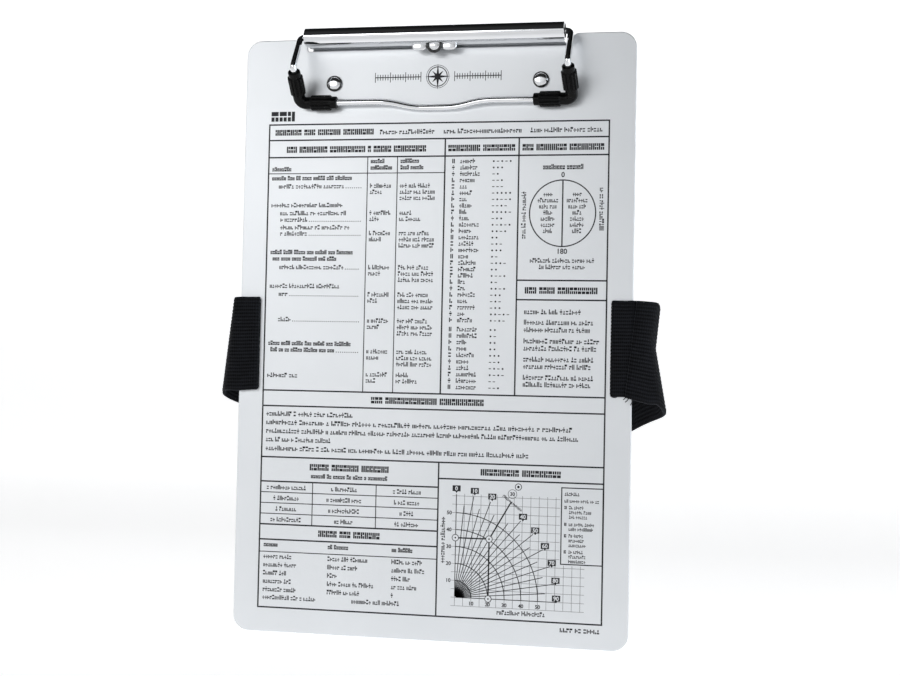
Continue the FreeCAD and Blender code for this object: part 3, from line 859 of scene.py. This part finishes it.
def even(line, count):
    """The same line with evenly spaced points."""
    step = np.r_[0, np.cumsum(np.linalg.norm(np.diff(line, axis=0), axis=1))]
    want = np.linspace(0, step[-1], count)
    return np.column_stack([np.interp(want, step, line[:, k]) for k in range(line.shape[1])])


def arc_length(line):
    return np.r_[0, np.cumsum(np.linalg.norm(np.diff(line, axis=0), axis=1))]


def side_of(line, closed=False):
    """Unit normals of a plan line, to the right of its direction."""
    if closed:
        tangent = np.roll(line, -1, axis=0) - np.roll(line, 1, axis=0)
    else:
        tangent = np.gradient(line, axis=0)
    tangent /= np.linalg.norm(tangent, axis=1)[:, None]
    return np.column_stack([tangent[:, 1], -tangent[:, 0]])


def ribbed(v):
    """Relief of the cord ribs at a share v of the width, and how the selvage rounds off."""
    relief = RIB_RELIEF * np.cos(2 * np.pi * STRAP_RIBS * v)
    edge = np.minimum(v, 1 - v) * 35.0
    round_off = np.sqrt(np.clip(1 - (1 - np.clip(edge / 0.7, 0, 1)) ** 2, 0, 1))
    return relief, round_off


def wander(length, amount, seed):
    """A slow random wobble along a strip."""
    rng = np.random.default_rng(seed)
    knots = rng.normal(0, amount, 12)
    return np.interp(length, np.linspace(length[0], length[-1], 12), knots)


def cloth_attribute(piece, values):
    attribute = piece.data.attributes.new("cloth", "FLOAT_VECTOR", "POINT")
    attribute.data.foreach_set("vector", np.asarray(values, np.float32).ravel())


def weld(piece):
    """Join the points where a swept skin closes on itself."""
    mesh = bmesh.new()
    mesh.from_mesh(piece.data)
    bmesh.ops.remove_doubles(mesh, verts=mesh.verts, dist=1e-7)
    bmesh.ops.dissolve_degenerate(mesh, dist=1e-7, edges=mesh.edges)
    bmesh.ops.recalc_face_normals(mesh, faces=mesh.faces)
    mesh.to_mesh(piece.data)
    mesh.free()
    return piece


def strap_skin(name, plan, half_thickness, fall, seed, closed=False, droop=STRAP_DROOP):
    """Ribbed webbing: plan(v) is the line it follows at a share v of its width."""
    rows = STRAP_RIBS * ROWS_PER_RIB
    low, width = LOOP_LOW.z - 0.15, LOOP_HIGH.z - LOOP_LOW.z + 0.60
    shares = np.linspace(0, 1, rows + 1)
    points, cloth = [], []
    for face, order in ((1, shares), (-1, shares[::-1])):
        for v in order:
            line = plan(v)
            length = arc_length(line)
            relief, round_off = ribbed(v)
            thick = half_thickness(length)
            depth = (thick + relief * np.minimum(1, thick)) * round_off
            offset = line + side_of(line, closed) * (face * depth)[:, None]
            z = low + width * v - droop * np.maximum(0, line[:, 1] - HINGE.y) - fall(v, length)
            z += (v - 0.5) * 2 * wander(length, 0.14, seed) * np.sin(np.pi * np.arange(len(line)) / len(line))
            points.append(np.column_stack([offset, z]))
            ones = np.ones(len(line))
            cloth.append(np.column_stack([length, ones * (v * width), ones * face]))
    stations = len(points[0])
    rings = len(points)
    grid = np.concatenate(points)
    faces = []
    last = stations if closed else stations - 1
    for r in range(rings):
        up = (r + 1) % rings
        for s in range(last):
            t = (s + 1) % stations
            faces.append((r * stations + s, r * stations + t, up * stations + t, up * stations + s))
    piece = build_mesh(name, grid, faces, ELASTIC)
    cloth_attribute(piece, np.concatenate(cloth))
    return weld(piece)


def right_root(v):
    """Where the right half starts, on the sewn loop's face, and where it stands out furthest."""
    ridge = 74.2 + 3.9 * v
    pinch = 83.6 + (4.2 * (1 - v / 0.6) if v < 0.6 else 1.7 * (v - 0.6) / 0.4)
    start = [(ridge - 0.5, -2.7), (ridge + 0.3, -3.35), (ridge + 1.2, -3.80), (ridge + 2.4, -3.90)]
    return start, (pinch, 4.4 - 3.6 * v)


def left_root(v):
    """The left half comes out of the slot in one piece with the loop."""
    start = [(69.5, -0.6), (69.0, -1.6), (68.95, -3.2), (69.6, -3.85),
             (71.5, -3.9), (74.0, -3.9), (76.4, -3.75)]
    return start, (83.5 - 4.8 * v, 2.4 - 1.6 * v)


def strap_half(name, side, root, turn, drop, run_y, seed):
    """One half of the leg strap, from its root on the board's face to its tip. side is 1 for the right."""
    def plan(v):
        start, (out, depth) = root(v)
        x, y = start[-1]
        controls = list(start)
        controls += [(x + 0.40 * (out - x), y + 0.05 * (depth - y)),
                     (x + 0.80 * (out - x), y + 0.36 * (depth - y)),
                     (out, y + 0.80 * (depth - y)), (out + 0.3, depth + 0.6), (out - turn, depth + 3.4)]
        controls += [(out - turn - 6.4, depth + 7.2), (66.0, run_y - 10.2), (50.0, run_y - 4.2),
                     (38.0, run_y - 0.6)]
        controls += [(x, run_y) for x in (29.0, 20.0, 10.0, 0.0, -12.0, -STRAP_TIP_X)]
        line = smooth_line(controls, 230)
        line[:, 0] *= side
        return line

    def half_thickness(length):
        tip = np.minimum(np.clip(length / 2.2, 0, 1), np.clip((length[-1] - length) / (STRAP_T / 2), 0, 1))
        return STRAP_T / 2 * np.sqrt(1 - (1 - tip) ** 2)

    def fall(v, length):
        """The front layer sags a little before it turns back, most at its lower edge."""
        amount = drop[0] + (drop[1] - drop[0]) * v
        return amount * np.interp(length, [0, 9, 17, 52, 200], [0, 1, 1, 0, 0])

    return strap_skin(name, plan, half_thickness, fall, seed)


def strap_loop(name, side, seed):
    """The sewn loop round the strip outside a slot."""
    half = STRAP_T / 2
    x0, x1 = LOOP_LOW.x + half - 0.38, LOOP_HIGH.x - half
    y0, y1 = LOOP_LOW.y + half, LOOP_HIGH.y - half
    corner = 0.72

    def plan(v):
        puff = 0.12 * math.sin(math.pi * v) + 0.05 * math.sin(9 * v + seed)
        line = []
        for cx, cy, start in ((x1 - corner, y0 + corner - puff, -90), (x1 - corner, y1 - corner, 0),
                              (x0 + corner, y1 - corner, 90), (x0 + corner, y0 + corner - puff, 180)):
            for i in range(7):
                a = math.radians(start + 15 * i)
                line.append((cx + corner * math.cos(a), cy + corner * math.sin(a)))
        line.append(line[0])
        line = even(np.array(line), 97)[:-1]
        line[:, 0] *= side
        return line

    def half_thickness(length):
        return np.full(len(length), half * 0.93)

    def fall(v, length):
        return 0.0

    return strap_skin(name, plan, half_thickness, fall, seed, closed=True, droop=0.0)


def make_straps():
    for side, word, root, turn, drop, run_y in ((1, "right", right_root, 1.8, (2.3, 0.6), OUTER_RUN_Y),
                                                (-1, "left", left_root, 3.0, (0.8, 0.1), INNER_RUN_Y)):
        half = strap_half("webbing_" + word, side, root, turn, drop, run_y, 5 + side)
        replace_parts(half, "strap_" + word)
        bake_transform(half)
        loop = strap_loop("webbing_loop_" + word, side, 8 + side)
        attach(loop, "board")
        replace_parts(loop, "strap_loop_" + word)


def tube_faces(rings, around, base=0):
    """Quads between successive rings of points."""
    faces = []
    for i in range(rings - 1):
        for k in range(around):
            low, high = base + i * around, base + (i + 1) * around
            j = (k + 1) % around
            faces.append((low + k, low + j, high + j, high + k))
    return faces


def sleeve_path():
    """Points and directions along a sleeve, from its upper end round the elbow to its inner end."""
    up = (CRANK - CORNER).normalized()
    along = (SPAN - CORNER).normalized()
    turn = math.pi - up.angle(along)
    reach = ELBOW_R * math.tan(turn / 2)
    centre = CORNER + (up + along).normalized() * (ELBOW_R / math.cos(turn / 2))
    points = []
    for s in np.linspace(SLEEVE_LEG, reach, 60, endpoint=False):
        points.append((CORNER + up * s, -up))
    start = CORNER + up * reach - centre
    for i in range(25):
        a = turn * i / 24
        axis = start.cross(-up).normalized()
        spin = Matrix.Rotation(a, 3, axis)
        points.append((centre + spin @ start, spin @ -up))
    for s in np.linspace(reach, SLEEVE_LEG, 61)[1:]:
        points.append((CORNER + along * s, along))
    return points, up.cross(along).normalized()


def sleeve_profile(t):
    """Radius and rib height at a distance t from the nearer free end."""
    collar, ribs_end = 2.2, 10.2
    if t < 0.35:
        return 2.10 + 0.25 * math.sqrt(max(0.0, 1 - ((0.35 - t) / 0.35) ** 2)), 0.0
    if t < collar:
        return 2.35, 0.0
    if t < ribs_end:
        rise = min(1.0, (t - collar) / 0.30, (ribs_end - t) / 0.30)
        return 2.35 - 0.10 * rise, 0.70 * rise
    return 2.35, 0.0


def grip_sleeve(name, side):
    """Ribbed rubber elbow, closed round the wire."""
    path, normal = sleeve_path()
    spots = [p for p, _ in path]
    length = np.r_[0, np.cumsum([(b - a).length for a, b in zip(spots, spots[1:])])]
    around, ribs = 168, 12
    points = []
    rings = [(0, WIRE_R + 0.03, 0.0)]
    rings += [(i, *sleeve_profile(min(length[i], length[-1] - length[i]))) for i in range(len(path))]
    rings += [(len(path) - 1, WIRE_R + 0.03, 0.0)]
    for index, radius, rib in rings:
        spot, direction = path[index]
        other = direction.cross(normal).normalized()
        for k in range(around):
            a = 2 * math.pi * k / around
            wave = min(1.0, max(0.0, 0.60 + 1.6 * math.cos(ribs * a)))
            r = radius + rib * wave * wave * (3 - 2 * wave)
            p = spot + normal * (r * math.cos(a)) + other * (r * math.sin(a))
            points.append((side * p.x, p.y, p.z))
    faces = tube_faces(len(rings), around)
    last = (len(rings) - 1) * around
    faces.append(tuple(reversed(range(around))))
    faces.append(tuple(range(last, last + around)))
    piece = weld(build_mesh(name, points, faces, RUBBER))
    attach(piece, "bail")
    return piece


def make_sleeves():
    for side, word in ((1, "right"), (-1, "left")):
        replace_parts(grip_sleeve("ribbed_sleeve_" + word, side), "grip_sleeve_" + word)


def rim_ring(name, cx, cz, y=FRONT_Y - 0.42):
    """Near-black ring of painted shade where a rivet's rim meets the metal under it."""
    around, section = 64, 12
    points = []
    for k in range(around):
        a = 2 * math.pi * k / around
        for j in range(section):
            b = 2 * math.pi * j / section
            r = 2.66 + 0.42 * math.cos(b)
            points.append((cx + r * math.cos(a), y + 0.62 * math.sin(b), cz + r * math.sin(a)))
    faces = []
    for k in range(around):
        for j in range(section):
            here, there = k * section, (k + 1) % around * section
            faces.append((here + j, there + j, there + (j + 1) % section, here + (j + 1) % section))
    ring = weld(build_mesh(name, points, faces, PAINTED_SHADE_CHROME))
    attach(ring, "board")


def make_rivet_caps():
    """Polished caps on the two rivets: a flat crown with a steep rim."""
    radius, height, power = 2.85, 1.36, 3.0
    around, rings = 64, 20
    for side, word in ((-1, "left"), (1, "right")):
        low, high = (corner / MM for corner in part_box("rivet_" + word))
        cx, cz = (low.x + high.x) / 2, (low.z + high.z) / 2
        points = []
        for i in range(rings):
            a = math.pi / 2 * i / rings
            r = radius * math.cos(a) ** (2 / power)
            y = FRONT_Y - 0.02 - height * math.sin(a) ** (2 / power)
            turns = [2 * math.pi * k / around for k in range(around)]
            points += [(cx + r * math.cos(b), y, cz + r * math.sin(b)) for b in turns]
        points.append((cx, FRONT_Y - 0.02 - height, cz))
        faces = tube_faces(rings, around)
        top = (rings - 1) * around
        faces += [(top + k, top + (k + 1) % around, rings * around) for k in range(around)]
        faces.append(tuple(reversed(range(around))))
        cap = weld(build_mesh("rivet_cap_" + word, points, faces, CHROME))
        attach(cap, "board")
        # A ring of painted shade round each cap.
        rim_ring("rivet_rim_" + word, cx, cz)


def make_anchor_bosses():
    """The anchor's round head between two longer bosses, all pressed out below the web."""
    around, rings = 64, 32
    points, faces = [], []
    rows = ((BOSS_X, 2.35, 0.9, 2.25, BOSS_Z, 2.0),
            (-5.6, 2.80, 0.7, 1.75, BOSS_Z - 0.25, 2.8),
            (6.0, 2.80, 0.7, 1.75, BOSS_Z - 0.25, 2.8))
    for cx, half_w, half_d, half_h, cz, power in rows:
        base = len(points)
        for i in range(rings + 1):
            a = math.pi * i / rings - math.pi / 2
            for k in range(around):
                b = 2 * math.pi * k / around
                level = math.copysign(abs(math.sin(a)) ** (2 / power), math.sin(a))
                reach = abs(math.cos(a)) ** (2 / power)
                points.append((cx + half_w * reach * math.cos(b), BOSS_Y + half_d * reach * math.sin(b),
                               cz + half_h * level))
        faces += tube_faces(rings + 1, around, base)
    bosses = weld(build_mesh("anchor_bosses", points, faces, CHROME))
    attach(bosses, "board")
    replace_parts(bosses, "anchor_rivet")
    # A ring of painted shade round the anchor's head.
    rim_ring("anchor_rim", BOSS_X, BOSS_Z, BOSS_Y - 0.25)


def make_thread_ends():
    """Loose ends of the seam's thread at the foot of the right loop."""
    for i, (start, mid, end) in enumerate((((75.4, -3.3, -21.0), (75.2, -3.6, -22.6), (74.0, -3.6, -23.2)),
                                           ((76.3, -3.0, -21.2), (77.0, -3.3, -22.9), (75.9, -3.4, -24.3)),
                                           ((74.4, -3.4, -21.0), (74.0, -3.6, -22.0), (73.3, -3.5, -22.3)))):
        data = bpy.data.curves.new("thread_end", "CURVE")
        data.dimensions = "3D"
        data.bevel_depth = 0.17 * MM
        data.bevel_resolution = 2
        data.use_fill_caps = True
        spline = data.splines.new("NURBS")
        spline.points.add(2)
        for point, place in zip(spline.points, (start, mid, end)):
            point.co = (*(Vector(place) * MM), 1)
        spline.order_u = 3
        spline.use_endpoint_u = True
        data.materials.append(THREAD)
        piece = collection_object(f"thread_end_{i + 1}", data)
        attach(piece, "board")


def dress(node, material):
    """Give a CAD node its finish."""
    for slot in frame["nodes"][node].material_slots:
        slot.material = material


make_camera()
make_floor()
make_light()

ALUMINIUM = satin_aluminium()
BLACK_INK = printing_ink("black_ink", (0.010, 0.010, 0.012), (0.024, 0.024, 0.028))
GREY_INK = printing_ink("grey_ink", (0.12, 0.12, 0.13), (0.20, 0.20, 0.21))
ELASTIC = knitted_elastic()
RUBBER = moulded_rubber("moulded_rubber")
THREAD = thread_material()
CHROME = chrome("chrome_plate")
# Near-black chrome for the rings of painted shade round the rivet caps and the anchor's head.
PAINTED_SHADE_CHROME = chrome("painted_shade_rim", 0.16, 0.05)

dress("board_plate", ALUMINIUM)
dress("clip_base", clip_chrome())
dress("bail_wire", chrome("chrome_wire", 0.05))
dress("torsion_anchor", zinc_steel())
dress("hook_patch", fastener_tape("hook_tape", 1500, 0.0003))
dress("loop_patch", fastener_tape("loop_tape", 2600, 0.0002))
dress("hook_patch_stitching", THREAD)
dress("loop_patch_stitching", THREAD)
NYLON = moulded_rubber("black_nylon", 0.012)
for side_word in ("left", "right"):
    dress("rivet_" + side_word, CHROME)
    dress("barrel_bush_" + side_word, NYLON)
    dress("loop_seam_" + side_word, THREAD)

print_board()
make_sleeves()
make_straps()
make_thread_ends()
make_rivet_caps()
make_anchor_bosses()
